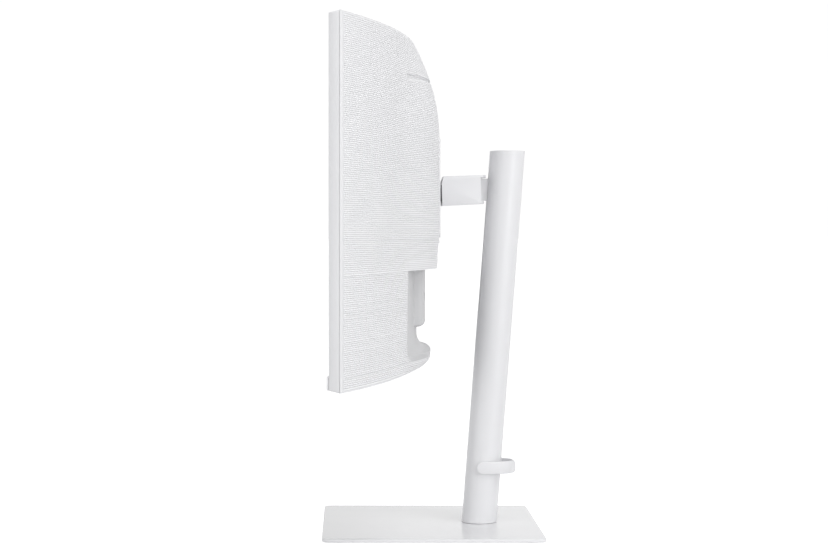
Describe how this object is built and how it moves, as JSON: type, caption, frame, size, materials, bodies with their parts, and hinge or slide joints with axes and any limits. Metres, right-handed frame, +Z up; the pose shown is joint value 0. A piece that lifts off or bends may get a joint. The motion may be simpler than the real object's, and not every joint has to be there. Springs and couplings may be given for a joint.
{
  "type": "computer monitor",
  "caption": "Curved ultrawide computer monitor with a ribbed rear cover, on a square base and a leaning round pole; height, swivel and tilt adjust.",
  "frame": {"origin": "bottom centre of the base, on the surface it stands on", "axes": "+X along the screen's width, -Y from the screen towards the viewer, +Z up"},
  "size_m": [0.8068, 0.25, 0.5584],
  "materials": {
    "white_plastic": "fine satin moulded white plastic",
    "white_paint": "satin white powder paint",
    "dark_paint": "satin dark grey paint",
    "rubber": "dark grey rubber",
    "screen_glass": "dark anti-glare panel, switched off",
    "steel": "zinc-plated steel",
    "panel_metal": "bare sheet",
    "clear_sheet": "clear optical plastic",
    "circuit_board": "green solder mask",
    "black_plastic": "black moulded plastic"
  },
  "bodies": {
    "stand": {"base_plate": "white_paint", "rubber_foot_1": "rubber", "rubber_foot_2": "rubber", "rubber_foot_3": "rubber", "rubber_foot_4": "rubber", "base_screw_1": "steel", "base_screw_2": "steel", "base_screw_3": "steel", "pole_tube": "white_paint", "pole_foot_plug": "steel", "pole_cap": "white_plastic", "gas_cylinder": "black_plastic", "cable_clip": "white_plastic"},
    "lift": {"carriage": "white_paint", "gas_rod": "steel"},
    "arm": {"arm_shell": "white_plastic", "arm_core": "white_paint", "swivel_pin": "steel", "tilt_pin": "steel"},
    "display": {"tilt_neck": "dark_paint", "mount_plate": "white_plastic", "mid_frame": "white_plastic", "lcd_glass": "screen_glass", "optical_sheets": "clear_sheet", "light_guide": "clear_sheet", "led_strip": "circuit_board", "panel_chassis": "panel_metal", "lower_bezel": "white_plastic", "rear_cover": "white_plastic", "vesa_bracket": "steel", "vesa_screw_1": "steel", "vesa_screw_2": "steel", "vesa_screw_3": "steel", "vesa_screw_4": "steel", "main_board": "circuit_board", "power_inlet": "black_plastic", "hdmi_socket": "black_plastic", "displayport_socket": "black_plastic", "usb_c_socket": "black_plastic", "network_socket": "black_plastic", "usb_a_socket": "black_plastic", "audio_socket": "black_plastic", "power_board": "circuit_board", "power_transformer": "black_plastic", "power_capacitor": "black_plastic", "speaker_left": "black_plastic", "speaker_right": "black_plastic"},
    "release": {"release_button": "white_plastic"},
    "jog": {"jog_button": "white_plastic"}
  },
  "joints": [
    {"name": "height_slide", "type": "slide", "parent": "stand", "child": "lift", "axis": [0, 0.0762, 0.9971], "range_m": [-0.12, 0]},
    {"name": "swivel", "type": "hinge", "parent": "lift", "child": "arm", "pos_m": [0, 0.05745, 0.3947], "axis": [0, 0, 1], "range_deg": [-30, 30]},
    {"name": "tilt", "type": "hinge", "parent": "arm", "child": "display", "pos_m": [0, 0.025, 0.39], "axis": [-1, 0, 0], "range_deg": [-5, 15]},
    {"name": "release_press", "type": "slide", "parent": "display", "child": "release", "axis": [0, -1, 0], "range_m": [0, 0.0015], "stiffness_N_per_m": 300},
    {"name": "jog_press", "type": "slide", "parent": "display", "child": "jog", "axis": [0, 0, 1], "range_m": [0, 0.001], "stiffness_N_per_m": 300}
  ]
}
